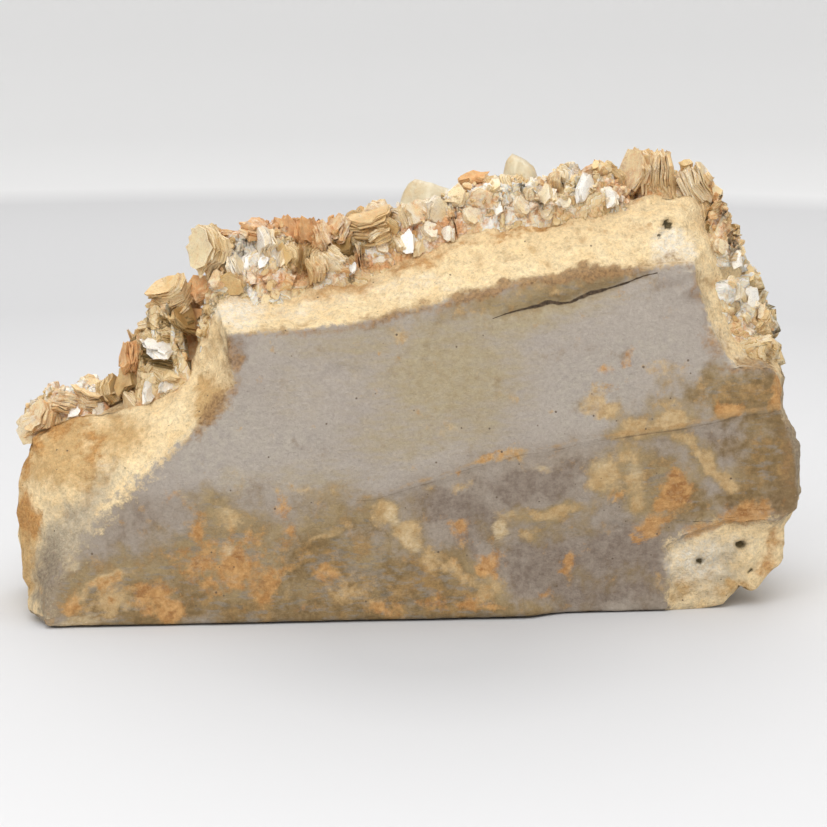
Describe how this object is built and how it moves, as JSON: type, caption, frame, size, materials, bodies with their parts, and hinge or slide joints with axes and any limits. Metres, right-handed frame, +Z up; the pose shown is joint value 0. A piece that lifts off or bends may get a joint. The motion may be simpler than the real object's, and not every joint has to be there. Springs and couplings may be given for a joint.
{
  "type": "aquamarine specimen",
  "caption": "Aquamarine specimen: a broken slab of rust-stained grey wall rock, crusted along its top and display side with muscovite books and hexagonal aquamarine crystals",
  "frame": {"origin": "on the ground, under the middle of the specimen's bounding box", "axes": "+Z up; +X along the slab, to the right as its bare side is seen; -Y is out of the bare flat side and +Y out of the crystal-bearing display side"},
  "size_m": [0.2038, 0.0909, 0.1194],
  "materials": {
    "wall_rock": "dry fine-grained rock, flat on one side and broken elsewhere, stained by iron",
    "muscovite": "pearly sheets, silvery to golden brown, rust on their upper edges",
    "aquamarine": "clear, very pale blue-green, smooth faces"
  },
  "bodies": {
    "root": {"wall_rock": "wall_rock", "muscovite_shelf": "muscovite", "muscovite_step": "muscovite", "muscovite_bank": "muscovite", "muscovite_peak": "muscovite", "muscovite_shoulder": "muscovite", "aquamarine_ridge_stout": "aquamarine", "aquamarine_ridge_small": "aquamarine", "aquamarine_display_main": "aquamarine", "aquamarine_display_leaning": "aquamarine", "aquamarine_display_upper": "aquamarine", "aquamarine_display_twin": "aquamarine", "aquamarine_display_low": "aquamarine", "aquamarine_shelf_small": "aquamarine"}
  },
  "joints": []
}
